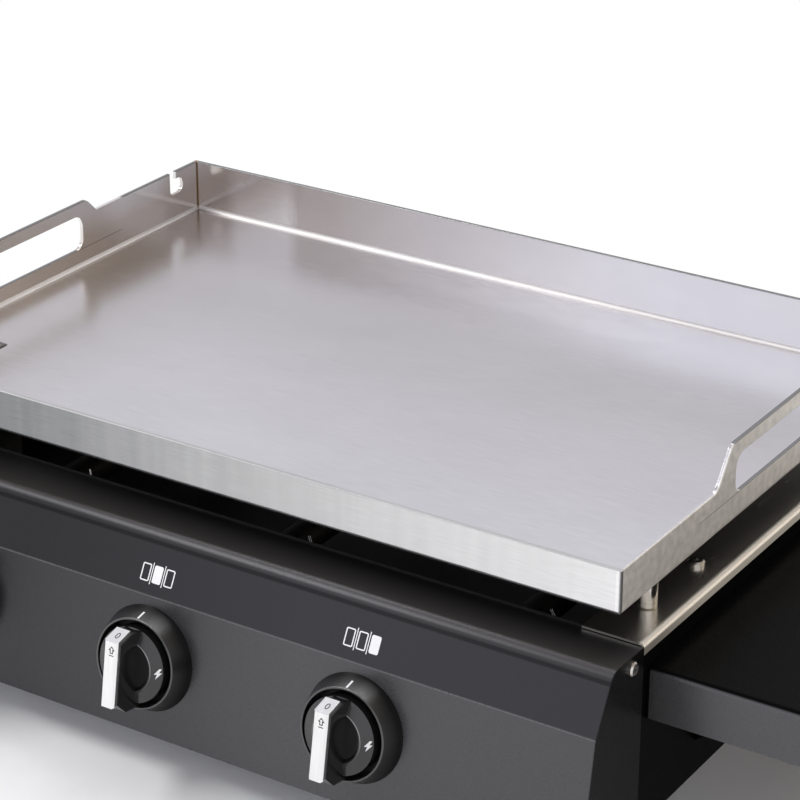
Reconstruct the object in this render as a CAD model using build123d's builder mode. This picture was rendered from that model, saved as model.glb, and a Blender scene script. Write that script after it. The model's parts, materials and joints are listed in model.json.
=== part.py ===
from build123d import *
import os
from math import cos, radians, sin, sqrt, tan

os.makedirs("parts", exist_ok=True)

# A gas griddle: a folded stainless cooking plate on a black base with three burners.
# Millimetres. +X is right, +Y is back, +Z is up. The sketches' origin is on the table,
# under the middle of the cooking plate.

# Cooking plate
plate_width = 600.0
plate_depth = 400.0
plate_sheet = 3.0
floor_sheet = 5.5
plate_bend = 4.0
plate_inner_bend = 2.5
plate_corner = 1.5
front_wall = 30.5
back_wall = 44.5
rim_round = 0.5

# Handle ears in the plate's side walls
ear_height = 55.5
ear_cheek = 6.0
ear_front_run = 18.0
ear_back_run = 11.0
ear_round = 8.0
ear_foot_round = 10.0
ear_toe_round = 2.5
slot_length = 108.0
slot_bottom = 19.0
slot_round = 9.0
handle_bar = 10.0

# Hook notch near the back of each side wall
notch_from_back = 34.0
notch_width = 7.5
notch_depth = 18.0
notch_pocket_radius = 6.0
notch_pocket_reach = 6.4

# Drain hole in the plate's floor
drain_width = 15.0
drain_length = 40.0
drain_from_side = 38.5
drain_from_front = 66.0
drain_round = 2.0

# Posts between plate and rails
post_radius = 6.0
post_height = 20.5
post_from_side = 11.0
post_from_end = 56.0
post_chamfer = 0.8

# Base
foot_height = 26.0
body_height = 128.0
base_overhang = 10.0
back_overhang = 38.0
sheet = 1.5
bore_clearance = 0.2

# Side rails
rail_width = 42.0
rail_flange = 7.5
rail_bend = 3.0

# Control panel
panel_tuck = 13.0
panel_step = 2.0
panel_top = 36.5
panel_bend = 8.0
band_height = 35.6
band_tilt = 28.0
face_tilt = 9.5
panel_lip = 15.0

# Firebox and base sheets
firebox_sheet = 1.0
firebox_floor = 16.0
firebox_lip = 32.0
firebox_front_lip = 12.0
firebox_front_gap = 3.0
firebox_back_gap = 14.0
side_panel_setback = 10.0
pan_edge_gap = 3.0
back_flange = 15.0

# Vents in the back panel
vent_length = 40.0
vent_width = 6.0
vent_pitch_x = 56.0
vent_pitch_z = 14.0
vent_columns = 7
vent_rows = 3
vent_height = 78.0

# Knobs: bezel ring, dial, bright stripe
knob_pitch = 157.5
knob_offset = -10.3
knob_drop = 76.6
bezel_base_radius = 35.3
bezel_rim_radius = 30.0
bezel_height = 14.0
bezel_rim = 1.5
bezel_floor = 2.0
bezel_edge = 0.6
dial_gap = 3.5
dial_shoulder = 16.5
dial_crown_radius = 17.5
dial_crown = 20.0
dial_dish = 17.5
dial_wall = 3.0
dial_rim = 1.5
dial_edge = 0.6
dial_hub_radius = 8.0
push_travel = 4.0
push_spare = 1.0
grip_width = 11.6
grip_height = 39.7
grip_end = 27.3
grip_end_height = 27.2
grip_flat = 22.0
stripe_width = 10.4
stripe_thickness = 3.0
stripe_chamfer = 1.2

# Valves and stems
stem_radius = 4.0
stem_depth = 14.0
stem_reach = 20.0
stem_flat = 1.0
shoulder_radius = 6.0
shoulder_start = 4.0
shoulder_length = 2.0
seat_length = 3.0
seat_gap = 0.4
stem_fit = 0.1
stem_hole_radius = 9.0
valve_bore_radius = 7.5
valve_bore_depth = 22.0
valve_housing_radius = 10.0
valve_flange_width = 36.0
valve_flange_height = 24.0
valve_flange_thickness = 3.0
valve_block_width = 24.0
valve_block_front = 15.0
valve_block_back = 46.0
valve_block_height = 24.0

# Gas line
manifold_radius = 8.0
manifold_wall = 1.5
manifold_height = 49.0
manifold_left = 215.0
boss_radius = 7.0
boss_height = 10.0
gas_hole_radius = 2.5
saddle_width = 16.0
saddle_depth = 22.0
saddle_spread = 300.0
saddle_wrap = 3.0
pipe_radius = 6.0
pipe_wall = 1.0
pipe_bend = 30.0
pipe_from_wall = 20.0
pipe_run = 49.0
pipe_to_back = 8.0
inlet_radius = 6.6
inlet_bore_radius = 3.5
inlet_hex = 19.0
inlet_hex_length = 8.0
inlet_tip_chamfer = 1.2
injector_radius = 4.0
injector_length = 8.0
injector_bore = 0.8
injector_height = 70.0

# Burners
burner_pitch = 186.0
burner_radius = 11.0
burner_wall = 1.0
burner_height = 95.0
burner_mouth_gap = 4.0
burner_neck = 29.0
burner_rise = 45.0
burner_bend = 25.0
burner_back_gap = 20.0
burner_cap = 2.0
burner_tail_radius = 4.0
burner_tail_past = 3.0
port_radius = 1.5
port_pitch = 20.0
port_margin = 20.0
port_angle = 35.0

# Ignition
electrode_offset = 24.0
electrode_height = 104.0
insulator_radius = 3.2
insulator_front = 8.0
insulator_length = 57.0
insulator_collar_radius = 5.0
insulator_collar = 2.0
wire_radius = 1.0
wire_run = 22.0
wire_reach = 12.0
wire_gap = 2.0
wire_bend = 4.0
lead_radius = 1.25
lead_rise = 12.0
lead_set_back = 16.0
lead_bend = 4.5

# Drain chute and grease drawer
chute_sheet = 1.0
chute_margin = 2.5
chute_top_gap = 5.0
chute_below = 2.0
drawer_width = 70.0
drawer_length = 92.0
drawer_depth = 16.0
drawer_sheet = 1.2
drawer_top_gap = 3.8
drawer_flange = 5.0
drawer_pull = 8.0
drawer_pull_height = 9.0
drawer_side_gap = 0.5
runner_sheet = 1.5
runner_gap = 0.6

# Side shelf
shelf_width = 220.0
shelf_front = 21.0
shelf_depth = 358.0
shelf_drop = 19.0
shelf_apron = 35.0
shelf_round = 4.0
shelf_corner = 8.0
bracket_sheet = 3.0
bracket_spread = 220.0
bracket_reach = 115.0
bracket_drop = 50.0
bracket_nose = 6.0

# Feet and screws
foot_radius = 16.0
foot_top_radius = 18.0
foot_from_side = 32.0
foot_front = 205.0
foot_back = 195.0
foot_well_radius = 6.0
foot_well = 10.0
foot_screw_radius = 2.5
foot_screw_head_radius = 4.8
foot_screw_head = 3.0
foot_screw_past = 5.0
panel_screw_radius = 2.0
panel_screw_head_radius = 4.6
panel_screw_head = 2.6
panel_screw_grip = 8.0
panel_screw_drop = 7.0
panel_screw_back = 15.0
rail_screw_radius = 2.5
rail_screw_head_radius = 5.4
rail_screw_head = 3.2
rail_screw_grip = 9.0
rail_screw_from_edge = 21.0
rail_screw_gap = 162.0
shelf_screw_radius = 2.5
shelf_screw_head_radius = 4.8
shelf_screw_head = 3.0
shelf_screw_grip = 9.0
shelf_screw_spread = 120.0
screw_dome = 1.0
cross_width = 1.1
cross_length = 5.0
cross_depth = 1.6

# Heights and places that follow from the sizes above
rail_z = foot_height + body_height
plate_z = rail_z + post_height
floor_z = plate_z + floor_sheet
half_base = plate_width / 2 + base_overhang
half_depth = plate_depth / 2
base_back = half_depth + back_overhang
body_bottom = foot_height - sheet
skin_inside = half_base - sheet
wall_inside = skin_inside - sheet
under_rail = rail_z - sheet

# Control panel outline, seen from the side
panel_back_y = panel_tuck - half_depth
panel_front_y = panel_back_y - panel_top
panel_z = rail_z - panel_step
panel_under = panel_z - sheet
crease_z = panel_z - band_height
crease_y = panel_front_y - band_height * tan(radians(band_tilt))
panel_bottom_y = crease_y - (crease_z - body_bottom) * tan(radians(face_tilt))

# Knob places: each has a plane on the panel's face with its Z pointing out of the panel
knob_z = panel_z - knob_drop
knob_y = crease_y - (crease_z - knob_z) * tan(radians(face_tilt))
outward = Vector(0, -cos(radians(face_tilt)), sin(radians(face_tilt)))
zones = {"left": -1, "middle": 0, "right": 1}
dial_radius = bezel_rim_radius - bezel_rim - dial_gap
dial_back = bezel_floor + push_travel + push_spare

# Fastener places
foot_x = half_base - foot_from_side
rail_screw_x = half_base - rail_screw_from_edge
panel_screw_y = panel_back_y - panel_screw_back
panel_screw_z = panel_z - panel_screw_drop
shelf_z = rail_z - shelf_drop
shelf_bottom = shelf_z - shelf_apron
shelf_y = shelf_front - half_depth + shelf_depth / 2
shelf_bolts = [(shelf_y + step * shelf_screw_spread, shelf_z - shelf_apron / 2) for step in (-1, 0, 1)]

# Firebox outline
firebox_half = half_base - rail_width - firebox_sheet
firebox_front_y = panel_back_y + firebox_front_gap
firebox_back_y = base_back - firebox_back_gap
firebox_bottom = foot_height + firebox_floor
firebox_lip_z = under_rail - firebox_sheet

# Valve block and burner places
block_front_y = knob_y + valve_block_front
block_back_y = knob_y + valve_block_back
block_bottom = manifold_height + boss_height
manifold_y = (block_front_y + block_back_y) / 2
burner_mouth_y = block_back_y + burner_mouth_gap
burner_turn_y = burner_mouth_y + burner_neck
burner_head_y = burner_turn_y + burner_rise
burner_end_y = firebox_back_y - burner_back_gap

# The widest forward reach of the dials: the gas inlet reaches as far to the back
front_reach = -(knob_y + grip_height * outward.Y - grip_flat * sin(radians(face_tilt)))

# Gas line places
pipe_x = wall_inside - pipe_from_wall
pipe_end_y = base_back - sheet - pipe_to_back
manifold_right = pipe_x - pipe_run

# Drain places
drain_x = -plate_width / 2 + drain_from_side + drain_width / 2
drain_y = -half_depth + drain_from_front + drain_length / 2
chute_left = firebox_sheet - firebox_half
chute_right = drain_x + drain_width / 2 + chute_margin + chute_sheet
chute_x = (chute_left + chute_right) / 2
chute_width = chute_right - chute_left
chute_length = drain_length + 2 * chute_margin + 2 * chute_sheet
drawer_left = -skin_inside

# The sketches are drawn about the plate's centre, and the pieces are saved about the middle of the whole
# griddle, which reaches from the drawer's pull to the shelf's far edge
middle_x = (drawer_left - drawer_pull + skin_inside + shelf_width) / 2


def save(piece, name):
    placed = piece.part.moved(Location((-middle_x, 0, 0)))
    placed.label = name
    export_step(placed, f"parts/{name}.step")


def knob_x(side):
    return knob_offset + side * knob_pitch


def knob_plane(side, out=0.0):
    centre = Vector(knob_x(side), knob_y, knob_z) + outward * out
    return Plane(origin=centre, x_dir=(1, 0, 0), z_dir=outward)


def burner_x(side):
    return side * burner_pitch


# Cooking plate: a tray folded from one sheet, its walls cut to a stepped outline
with BuildPart() as tray_space:
    with BuildSketch(Plane.XY.offset(floor_z)):
        Rectangle(plate_width - 2 * plate_sheet, plate_depth - 2 * plate_sheet)
    extrude(amount=ear_height)
    fillet(tray_space.faces().sort_by(Axis.Z)[0].edges(), plate_inner_bend)

with BuildPart() as cooking_plate:
    with BuildSketch(Plane.XY.offset(plate_z)):
        Rectangle(plate_width, plate_depth)
    extrude(amount=ear_height)
    fillet(cooking_plate.faces().sort_by(Axis.Z)[0].edges(), plate_bend)
    fillet(cooking_plate.edges().filter_by(Axis.Z), plate_corner)
    add(tray_space.part, mode=Mode.SUBTRACT)
    # Everything above the walls' stepped top edge, the handle slots and the hook notches
    ear_half = slot_length / 2 + ear_cheek
    outside = half_depth + plate_sheet
    above_ears = plate_z + ear_height + plate_sheet
    wall_top = [
        (-outside, front_wall),
        (-ear_half - ear_front_run, front_wall),
        (-ear_half, ear_height),
        (ear_half, ear_height),
        (ear_half + ear_back_run, back_wall),
        (outside, back_wall),
    ]
    slot_height = ear_height - handle_bar - slot_bottom
    notch_y = half_depth - notch_from_back
    notch_bottom = back_wall - notch_depth
    pocket_z = notch_bottom + notch_pocket_radius
    with BuildSketch(Plane.YZ):
        with BuildLine():
            FilletPolyline(
                *[(y, plate_z + z) for y, z in wall_top],
                radius=[ear_foot_round, ear_round, ear_round, ear_toe_round],
            )
            Polyline(
                (outside, plate_z + back_wall),
                (outside, above_ears),
                (-outside, above_ears),
                (-outside, plate_z + front_wall),
            )
        make_face()
        with Locations((0, plate_z + slot_bottom + slot_height / 2)):
            RectangleRounded(slot_length, slot_height, slot_round)
        with Locations((notch_y, plate_z + notch_bottom + notch_width / 2 + notch_depth)):
            Rectangle(notch_width, 2 * notch_depth)
        with Locations((notch_y, plate_z + notch_bottom + notch_width / 2)):
            Circle(notch_width / 2)
        with Locations((notch_y + notch_pocket_reach, plate_z + pocket_z)):
            Circle(notch_pocket_radius)
        with Locations((notch_y + notch_pocket_reach / 2, plate_z + pocket_z)):
            Rectangle(notch_pocket_reach, 2 * notch_pocket_radius)
    extrude(amount=plate_width, both=True, mode=Mode.SUBTRACT)
    with BuildSketch(Plane.XY.offset(plate_z)):
        with Locations((drain_x, drain_y)):
            RectangleRounded(drain_width, drain_length, drain_round)
    extrude(amount=floor_sheet, mode=Mode.SUBTRACT)
    # Every cut edge of the walls is eased; the upright corners and cross edges stay
    above_slots = plate_z + slot_bottom - plate_sheet
    wall_edges = cooking_plate.edges().filter_by(lambda edge: edge.bounding_box().min.Z > above_slots)
    eased = wall_edges.filter_by(lambda edge: edge.length > 2 * plate_sheet)
    fillet(eased, rim_round)
save(cooking_plate, "cooking_plate")

with BuildPart() as plate_posts:
    post_x = plate_width - 2 * post_from_side
    post_y = plate_depth - 2 * post_from_end
    with BuildSketch(Plane.XY.offset(rail_z)):
        with GridLocations(post_x, post_y, 2, 2):
            Circle(post_radius)
    extrude(amount=post_height)
    chamfer(plate_posts.faces().filter_by(Plane.XY).group_by(Axis.Z)[0].edges(), post_chamfer)
save(plate_posts, "plate_posts")


# Side rails: a stainless strip with a rolled outer edge and a short flange
def side_rail(side, name):
    rail_length = base_back - sheet - panel_back_y
    with BuildPart() as rail:
        with BuildSketch(Plane.XZ.offset(-panel_back_y)):
            with BuildLine():
                Polyline(
                    (side * (half_base - rail_width), rail_z),
                    (side * half_base, rail_z),
                    (side * half_base, rail_z - rail_flange),
                    (side * skin_inside, rail_z - rail_flange),
                    (side * skin_inside, under_rail),
                    (side * (half_base - rail_width), under_rail),
                    close=True,
                )
            make_face()
        extrude(amount=-rail_length)
        top_outer = rail.edges().filter_by(Axis.Y).group_by(Axis.Z)[-1].sort_by(Axis.X)
        fillet(top_outer[-1 if side > 0 else 0], rail_bend)
        with Locations(Plane.XY.offset(rail_z)):
            for end_y in (-rail_screw_gap / 2, rail_screw_gap / 2):
                with Locations((side * rail_screw_x, end_y)):
                    Hole(rail_screw_radius + bore_clearance, depth=sheet)
    save(rail, name)


side_rail(-1, "side_rail_left")
side_rail(1, "side_rail_right")

# Control panel: top, band, sloping face and folded ends of one black sheet
with BuildPart() as control_panel:
    with BuildSketch(Plane.YZ):
        with BuildLine():
            Polyline(
                (panel_back_y, panel_z),
                (panel_front_y, panel_z),
                (crease_y, crease_z),
                (panel_bottom_y, body_bottom),
                (panel_back_y, body_bottom),
                close=True,
            )
        make_face()
    extrude(amount=half_base, both=True)
    top_front = control_panel.edges().filter_by(Axis.X).group_by(Axis.Z)[-1].sort_by(Axis.Y)[0]
    fillet(top_front, panel_bend)
    back_face = control_panel.faces().sort_by(Axis.Y)[-1]
    offset(amount=-sheet, openings=back_face)
    # The bottom keeps only a narrow lip behind the face
    with BuildSketch(Plane.XY.offset(body_bottom)):
        with Locations((0, (panel_bottom_y + panel_lip + panel_back_y) / 2)):
            Rectangle(2 * skin_inside, panel_back_y - panel_bottom_y - panel_lip)
    extrude(amount=sheet, mode=Mode.SUBTRACT)
    for side in zones.values():
        with Locations(knob_plane(side)):
            Hole(stem_hole_radius, depth=2 * sheet)
    with Locations(Plane.YZ):
        with Locations((panel_screw_y, panel_screw_z)):
            Cylinder(panel_screw_radius + bore_clearance, 2 * (half_base + sheet), mode=Mode.SUBTRACT)
save(control_panel, "control_panel")


# Side panels: flat black sheets under the rails, the right one drilled for the shelf
def side_panel(side, name, bolts):
    front_y = panel_front_y + side_panel_setback
    back_y = base_back - sheet
    with BuildPart() as panel:
        with BuildSketch(Plane.YZ.offset(side * skin_inside)):
            with Locations(((front_y + back_y) / 2, (body_bottom + panel_under) / 2)):
                Rectangle(back_y - front_y, panel_under - body_bottom)
            with Locations((panel_screw_y, panel_screw_z)):
                Circle(panel_screw_radius + bore_clearance, mode=Mode.SUBTRACT)
            for bolt in bolts:
                with Locations(bolt):
                    Circle(shelf_screw_radius + bore_clearance, mode=Mode.SUBTRACT)
        extrude(amount=-side * sheet)
    save(panel, name)


side_panel(-1, "side_panel_left", [])
side_panel(1, "side_panel_right", shelf_bolts)

# Back panel: an upright sheet with vents and a top flange that points forwards
with BuildPart() as back_panel:
    with BuildSketch(Plane.XZ.offset(-base_back)):
        with Locations((0, (body_bottom + rail_z) / 2)):
            Rectangle(2 * skin_inside, rail_z - body_bottom)
        with Locations((0, vent_height)):
            with GridLocations(vent_pitch_x, vent_pitch_z, vent_columns, vent_rows):
                SlotOverall(vent_length, vent_width, mode=Mode.SUBTRACT)
        with Locations((pipe_x, manifold_height)):
            Circle(inlet_radius + bore_clearance, mode=Mode.SUBTRACT)
    extrude(amount=sheet)
    with BuildSketch(Plane.XY.offset(under_rail)):
        with Locations((0, base_back - sheet - back_flange / 2)):
            Rectangle(2 * (firebox_half + firebox_sheet), back_flange)
    extrude(amount=sheet)
save(back_panel, "back_panel")

# Base pan: the flat floor sheet that the feet are screwed to
with BuildPart() as base_pan:
    pan_front = panel_bottom_y + sheet + pan_edge_gap
    pan_back = base_back - sheet
    with BuildSketch(Plane.XY.offset(foot_height)):
        with Locations((0, (pan_front + pan_back) / 2)):
            Rectangle(2 * wall_inside, pan_back - pan_front)
        with Locations((chute_x, drain_y)):
            Rectangle(chute_width + 2 * bore_clearance, chute_length + 2 * bore_clearance, mode=Mode.SUBTRACT)
        with Locations((0, (foot_back - foot_front) / 2)):
            with GridLocations(2 * foot_x, foot_front + foot_back, 2, 2):
                Circle(foot_screw_radius + bore_clearance, mode=Mode.SUBTRACT)
    extrude(amount=sheet)
save(base_pan, "base_pan")

# Firebox: an open sheet box whose lips are fastened under the rails and the panel's top
with BuildPart() as firebox:
    firebox_mid = (firebox_front_y + firebox_back_y) / 2
    firebox_depth = firebox_back_y - firebox_front_y
    lip_half = firebox_half + firebox_lip
    lip_front = firebox_front_y - firebox_front_lip
    lip_back = base_back - sheet
    with BuildSketch(Plane.XY.offset(firebox_bottom)):
        with Locations((0, firebox_mid)):
            Rectangle(2 * firebox_half, firebox_depth)
    extrude(amount=under_rail - firebox_bottom)
    offset(amount=-firebox_sheet, openings=firebox.faces().sort_by(Axis.Z)[-1])
    with BuildSketch(Plane.XY.offset(firebox_lip_z)):
        with Locations((0, (firebox_front_y + lip_back) / 2)):
            Rectangle(2 * lip_half, lip_back - firebox_front_y)
        with Locations((0, firebox_mid)):
            Rectangle(2 * firebox_half, firebox_depth, mode=Mode.SUBTRACT)
        with GridLocations(2 * rail_screw_x, rail_screw_gap, 2, 2):
            Circle(rail_screw_radius + bore_clearance, mode=Mode.SUBTRACT)
    extrude(amount=firebox_sheet)
    # The front lip lies lower, under the panel's top
    with BuildSketch(Plane.XY.offset(panel_under - firebox_sheet)):
        with Locations((0, (lip_front + firebox_front_y) / 2)):
            Rectangle(2 * firebox_half, firebox_front_y - lip_front)
    extrude(amount=firebox_sheet)
    with BuildSketch(Plane.XY.offset(firebox_bottom)):
        with Locations((chute_x, drain_y)):
            Rectangle(chute_width + 2 * bore_clearance, chute_length + 2 * bore_clearance)
    extrude(amount=firebox_sheet, mode=Mode.SUBTRACT)
    for side in zones.values():
        with Locations(Plane.XZ.offset(-firebox_front_y)):
            with Locations((knob_x(side), injector_height)):
                Hole(burner_radius + bore_clearance, depth=2 * firebox_sheet)
            with Locations((burner_x(side) + electrode_offset, electrode_height)):
                Hole(insulator_radius + bore_clearance, depth=2 * firebox_sheet)
        with Locations(Plane.XZ.offset(-firebox_back_y)):
            with Locations((burner_x(side), burner_height)):
                Hole(burner_tail_radius + bore_clearance, depth=2 * firebox_sheet)
save(firebox, "firebox")


# Burners: a mixing tube that rises into a straight head with two rows of ports
def burner(side, name):
    inlet_x = knob_x(side)
    head_x = burner_x(side)
    route = [
        (inlet_x, burner_mouth_y, injector_height),
        (inlet_x, burner_turn_y, injector_height),
        (head_x, burner_head_y, burner_height),
        (head_x, burner_end_y, burner_height),
    ]
    mouth = Plane(origin=route[0], x_dir=(1, 0, 0), z_dir=(0, 1, 0))
    tail_length = firebox_back_y + burner_tail_past - burner_end_y
    ports = int((burner_end_y - burner_head_y - 2 * port_margin) / port_pitch) + 1
    with BuildPart() as tube:
        with BuildLine() as path:
            FilletPolyline(*route, radius=burner_bend)
        with BuildSketch(mouth):
            Circle(burner_radius)
        sweep(path=path.wires()[0])
        with BuildSketch(mouth):
            Circle(burner_radius - burner_wall)
        sweep(path=path.wires()[0], mode=Mode.SUBTRACT)
        with BuildSketch(Plane.XZ.offset(-burner_end_y)):
            with Locations((head_x, burner_height)):
                Circle(burner_radius)
        extrude(amount=-burner_cap)
        with BuildSketch(Plane.XZ.offset(-burner_end_y)):
            with Locations((head_x, burner_height)):
                Circle(burner_tail_radius)
        extrude(amount=-tail_length)
        for lean in (-port_angle, port_angle):
            for index in range(ports):
                port_y = burner_head_y + port_margin + index * port_pitch
                aim = (sin(radians(lean)), 0, cos(radians(lean)))
                with Locations(Plane(origin=(head_x, port_y, burner_height), x_dir=(0, 1, 0), z_dir=aim)):
                    Cylinder(
                        port_radius,
                        2 * burner_radius,
                        align=(Align.CENTER, Align.CENTER, Align.MIN),
                        mode=Mode.SUBTRACT,
                    )
    save(tube, name)


for zone, side in zones.items():
    burner(side, f"burner_{zone}")

# Gas manifold: a cross tube with a boss under each valve
with BuildPart() as gas_manifold:
    with BuildSketch(Plane.YZ.offset(-manifold_left)):
        with Locations((manifold_y, manifold_height)):
            Circle(manifold_radius)
    extrude(amount=manifold_left + manifold_right)
    with BuildSketch(Plane.XY.offset(manifold_height)):
        for side in zones.values():
            with Locations((knob_x(side), manifold_y)):
                Circle(boss_radius)
    extrude(amount=boss_height)
    with BuildSketch(Plane.YZ.offset(manifold_right)):
        with Locations((manifold_y, manifold_height)):
            Circle(manifold_radius - manifold_wall)
    extrude(amount=manifold_wall - manifold_left - manifold_right, mode=Mode.SUBTRACT)
    with BuildSketch(Plane.XY.offset(manifold_height)):
        for side in zones.values():
            with Locations((knob_x(side), manifold_y)):
                Circle(gas_hole_radius)
    extrude(amount=boss_height, mode=Mode.SUBTRACT)
save(gas_manifold, "gas_manifold")

# Saddles that carry the manifold on the base pan
with BuildPart() as manifold_saddles:
    pan_top = foot_height + sheet
    saddle_top = manifold_height - manifold_radius + saddle_wrap
    with BuildSketch(Plane.XY.offset(pan_top)):
        with Locations((0, manifold_y)):
            with GridLocations(saddle_spread, 1, 2, 1):
                Rectangle(saddle_width, saddle_depth)
    extrude(amount=saddle_top - pan_top)
    with BuildSketch(Plane.YZ):
        with Locations((manifold_y, manifold_height)):
            Circle(manifold_radius + bore_clearance)
    extrude(amount=half_base, both=True, mode=Mode.SUBTRACT)
save(manifold_saddles, "manifold_saddles")

# Supply pipe: from the manifold's open end round to the back panel
with BuildPart() as supply_pipe:
    pipe_route = [
        (manifold_right, manifold_y, manifold_height),
        (pipe_x, manifold_y, manifold_height),
        (pipe_x, pipe_end_y, manifold_height),
    ]
    pipe_start = Plane.YZ.offset(manifold_right)
    with BuildLine() as pipe_path:
        FilletPolyline(*pipe_route, radius=pipe_bend)
    with BuildSketch(pipe_start):
        with Locations((manifold_y, manifold_height)):
            Circle(pipe_radius)
    sweep(path=pipe_path.wires()[0])
    with BuildSketch(pipe_start):
        with Locations((manifold_y, manifold_height)):
            Circle(pipe_radius - pipe_wall)
    sweep(path=pipe_path.wires()[0], mode=Mode.SUBTRACT)
save(supply_pipe, "supply_pipe")

# Gas inlet: a hexagon behind the back panel and a round spigot for the gas fitting
with BuildPart() as gas_inlet:
    with BuildSketch(Plane.XZ.offset(-pipe_end_y)):
        with Locations((pipe_x, manifold_height)):
            Circle(inlet_radius)
    extrude(amount=pipe_end_y - front_reach)
    with BuildSketch(Plane.XZ.offset(-base_back)):
        with Locations((pipe_x, manifold_height)):
            RegularPolygon(inlet_hex / 2, 6, major_radius=False)
    extrude(amount=-inlet_hex_length)
    chamfer(gas_inlet.faces().sort_by(Axis.Y)[-1].edges(), inlet_tip_chamfer)
    with BuildSketch(Plane.XZ.offset(-pipe_end_y)):
        with Locations((pipe_x, manifold_height)):
            Circle(inlet_bore_radius)
    extrude(amount=pipe_end_y - front_reach, mode=Mode.SUBTRACT)
save(gas_inlet, "gas_inlet")


# Valves: a flange behind the panel, a round housing and a block on the manifold's boss
def valve(side, name):
    with BuildPart() as body:
        with BuildSketch(knob_plane(side, -sheet)):
            Rectangle(valve_flange_width, valve_flange_height)
        extrude(amount=-valve_flange_thickness)
        with BuildSketch(knob_plane(side, -sheet)):
            Circle(valve_housing_radius)
        extrude(amount=-valve_bore_depth)
        with BuildSketch(Plane.XY.offset(block_bottom)):
            with Locations((knob_x(side), (block_front_y + block_back_y) / 2)):
                Rectangle(valve_block_width, block_back_y - block_front_y)
        extrude(amount=valve_block_height)
        with BuildSketch(knob_plane(side, -sheet)):
            Circle(valve_bore_radius)
        extrude(amount=sheet - valve_bore_depth, mode=Mode.SUBTRACT)
    save(body, name)


for zone, side in zones.items():
    valve(side, f"valve_{zone}")

with BuildPart() as injectors:
    with BuildSketch(Plane.XZ.offset(-block_back_y)):
        for side in zones.values():
            with Locations((knob_x(side), injector_height)):
                Circle(injector_radius)
                Circle(injector_bore, mode=Mode.SUBTRACT)
    extrude(amount=-injector_length)
save(injectors, "injectors")

# Ignition electrodes: ceramic insulators through the firebox wall, with bent wire tips
insulator_front_y = firebox_front_y - insulator_front
insulator_back_y = insulator_front_y + insulator_length
with BuildPart() as electrode_insulators:
    with BuildSketch(Plane.XZ.offset(-insulator_front_y)):
        for side in zones.values():
            with Locations((burner_x(side) + electrode_offset, electrode_height)):
                Circle(insulator_radius)
    extrude(amount=-insulator_length)
    with BuildSketch(Plane.XZ.offset(-firebox_front_y)):
        for side in zones.values():
            with Locations((burner_x(side) + electrode_offset, electrode_height)):
                Circle(insulator_collar_radius)
    extrude(amount=insulator_collar)
save(electrode_insulators, "electrode_insulators")

with BuildPart() as electrode_wires:
    for side in zones.values():
        wire_x = burner_x(side) + electrode_offset
        tip_x = burner_x(side) + burner_radius + wire_gap
        wire_route = [
            (wire_x, insulator_back_y, electrode_height),
            (wire_x, insulator_back_y + wire_run, electrode_height),
            (tip_x, insulator_back_y + wire_run + wire_reach, electrode_height),
        ]
        with BuildLine() as wire_path:
            FilletPolyline(*wire_route, radius=wire_bend)
        with BuildSketch(Plane.XZ.offset(-insulator_back_y)):
            with Locations((wire_x, electrode_height)):
                Circle(wire_radius)
        sweep(path=wire_path.wires()[0])
save(electrode_wires, "electrode_wires")

# Ignition leads: from each valve's igniter up to its electrode
with BuildPart() as ignition_leads:
    block_top = block_bottom + valve_block_height
    lead_y = insulator_front_y - lead_set_back
    for side in zones.values():
        electrode_x = burner_x(side) + electrode_offset
        lead_route = [
            (knob_x(side), lead_y, block_top),
            (knob_x(side), lead_y, block_top + lead_rise),
            (electrode_x, lead_y, electrode_height),
            (electrode_x, insulator_front_y, electrode_height),
        ]
        with BuildLine() as lead_path:
            FilletPolyline(*lead_route, radius=lead_bend)
        with BuildSketch(Plane.XY.offset(block_top)):
            with Locations((knob_x(side), lead_y)):
                Circle(lead_radius)
        sweep(path=lead_path.wires()[0])
save(ignition_leads, "ignition_leads")


# Bezels: fixed flared rings on the panel's face, open in the middle for the stem
def bezel(side, name):
    bore = bezel_rim_radius - bezel_rim
    with BuildPart() as ring:
        with BuildSketch(knob_plane(side)):
            Circle(bezel_base_radius)
        with BuildSketch(knob_plane(side, bezel_height)):
            Circle(bezel_rim_radius)
        loft()
        with BuildSketch(knob_plane(side, bezel_floor)):
            Circle(bore)
        extrude(amount=bezel_height, mode=Mode.SUBTRACT)
        with BuildSketch(knob_plane(side)):
            Circle(stem_hole_radius)
        extrude(amount=bezel_height, mode=Mode.SUBTRACT)
        rim = ring.faces().filter_by(GeomType.PLANE).sort_by(Axis(ring.part.center(), outward))[-1]
        fillet(rim.edges(), bezel_edge)
    save(ring, name)


for zone, side in zones.items():
    bezel(side, f"bezel_{zone}")


# Stems: a shaft with a thrust shoulder and a flat that drives the dial
def valve_stem(side, name):
    with BuildPart() as stem:
        with BuildSketch(knob_plane(side, -stem_depth)):
            Circle(stem_radius)
        extrude(amount=stem_depth + stem_reach)
        with BuildSketch(knob_plane(side, -shoulder_start)):
            Circle(shoulder_radius)
        extrude(amount=-shoulder_length)
        with BuildSketch(knob_plane(side, dial_back)):
            with Locations((stem_radius - stem_flat / 2, 0)):
                Rectangle(stem_flat, 2 * stem_radius)
        extrude(amount=stem_reach, mode=Mode.SUBTRACT)
    save(stem, name)


# Spring seats: rings that the stem's shoulder pushes into the valve
def spring_seat(side, name):
    with BuildPart() as seat:
        with BuildSketch(knob_plane(side, -shoulder_start - shoulder_length)):
            Circle(valve_bore_radius - seat_gap)
            Circle(stem_radius + seat_gap, mode=Mode.SUBTRACT)
        extrude(amount=-seat_length)
    save(seat, name)


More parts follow.
